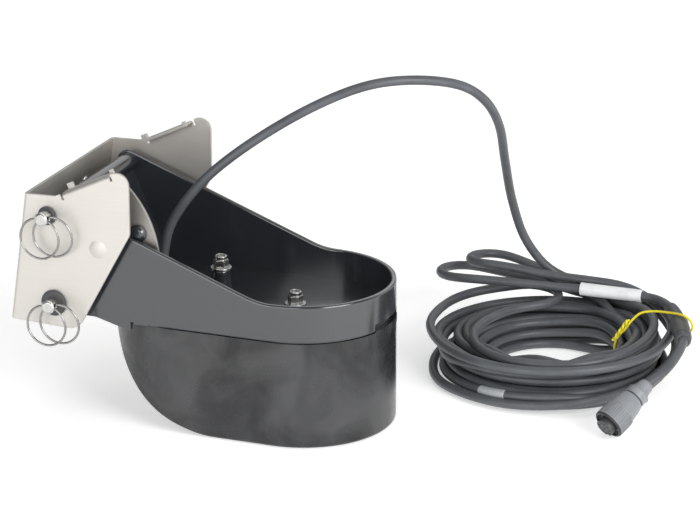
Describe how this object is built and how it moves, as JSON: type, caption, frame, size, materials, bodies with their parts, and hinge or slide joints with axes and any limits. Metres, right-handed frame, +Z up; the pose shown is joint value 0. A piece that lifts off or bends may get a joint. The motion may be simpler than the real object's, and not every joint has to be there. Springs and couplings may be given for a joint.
{
  "type": "sonar transducer",
  "caption": "Transom-mount sonar transducer: a potted round-ended body under an open tray, hung in a folded kick-up bracket with ring-pull release pins, with a coiled cable and round plug.",
  "frame": {"origin": "on the flat sole, under the centre of the aft arc of the body", "axes": "+X aft along the body, +Y to the side away from the pull rings, +Z up from the sole"},
  "size_m": [0.4551, 0.3272, 0.2397],
  "materials": {
    "housing": "gloss",
    "body": "satin",
    "stainless": "brushed",
    "bush": "matte",
    "bright": "polished",
    "jacket": "satin",
    "cork": "matte",
    "ceramic": "matte",
    "resin": "matte",
    "label": "matte",
    "tape": "satin",
    "tie": "satin",
    "contact": "polished"
  },
  "bodies": {
    "transducer": {"body_shell": "body", "element_holder": "cork", "ceramic_elements": "ceramic", "potting": "resin", "temperature_probe": "bright", "tray": "housing", "arm_plate": "stainless", "plate_button": "bush", "plate_rivets": "bright", "studs": "bright", "stud_washers": "bright", "stud_nuts": "bright", "cable_gland": "jacket", "cable": "jacket", "cable_coil": "jacket", "cable_tail": "jacket", "label_sleeve": "label", "tape_marker": "tape", "joint_sleeve": "jacket", "coil_tie": "tie", "plug_boot": "jacket", "plug_shell": "bush", "plug_insert": "bush", "plug_contacts": "contact"},
    "bracket": {"transom_bracket": "stainless", "hinge_bushes": "bush", "lock_bushes": "bush"},
    "hinge_pin": {"hinge_pin": "bright"},
    "lock_pin": {"lock_pin": "bright"},
    "hinge_ring": {"hinge_ring": "bright"},
    "lock_ring": {"lock_ring": "bright"},
    "coupling": {"plug_ring": "bush"}
  },
  "joints": [
    {"name": "kick_up", "type": "hinge", "parent": "transducer", "child": "bracket", "pos_m": [-0.1665, 0, 0.1566], "axis": [0, 1, 0], "range_deg": [0, 44]},
    {"name": "hinge_pin_pull", "type": "slide", "parent": "bracket", "child": "hinge_pin", "axis": [0, -1, 0], "range_m": [0, 0.17]},
    {"name": "lock_pin_pull", "type": "slide", "parent": "bracket", "child": "lock_pin", "axis": [0, -1, 0], "range_m": [0, 0.17]},
    {"name": "hinge_ring_swing", "type": "hinge", "parent": "hinge_pin", "child": "hinge_ring", "pos_m": [-0.1665, -0.0833, 0.1566], "axis": [-1, 0, 0], "range_deg": [-10, 100]},
    {"name": "lock_ring_swing", "type": "hinge", "parent": "lock_pin", "child": "lock_ring", "pos_m": [-0.1633, -0.0833, 0.0913], "axis": [-1, 0, 0], "range_deg": [-10, 100]},
    {"name": "coupling_turn", "type": "hinge", "parent": "transducer", "child": "coupling", "pos_m": [0.22, 0.032, 0.01084], "axis": [-0.4265, -0.7669, -0.4796], "continuous": true}
  ]
}
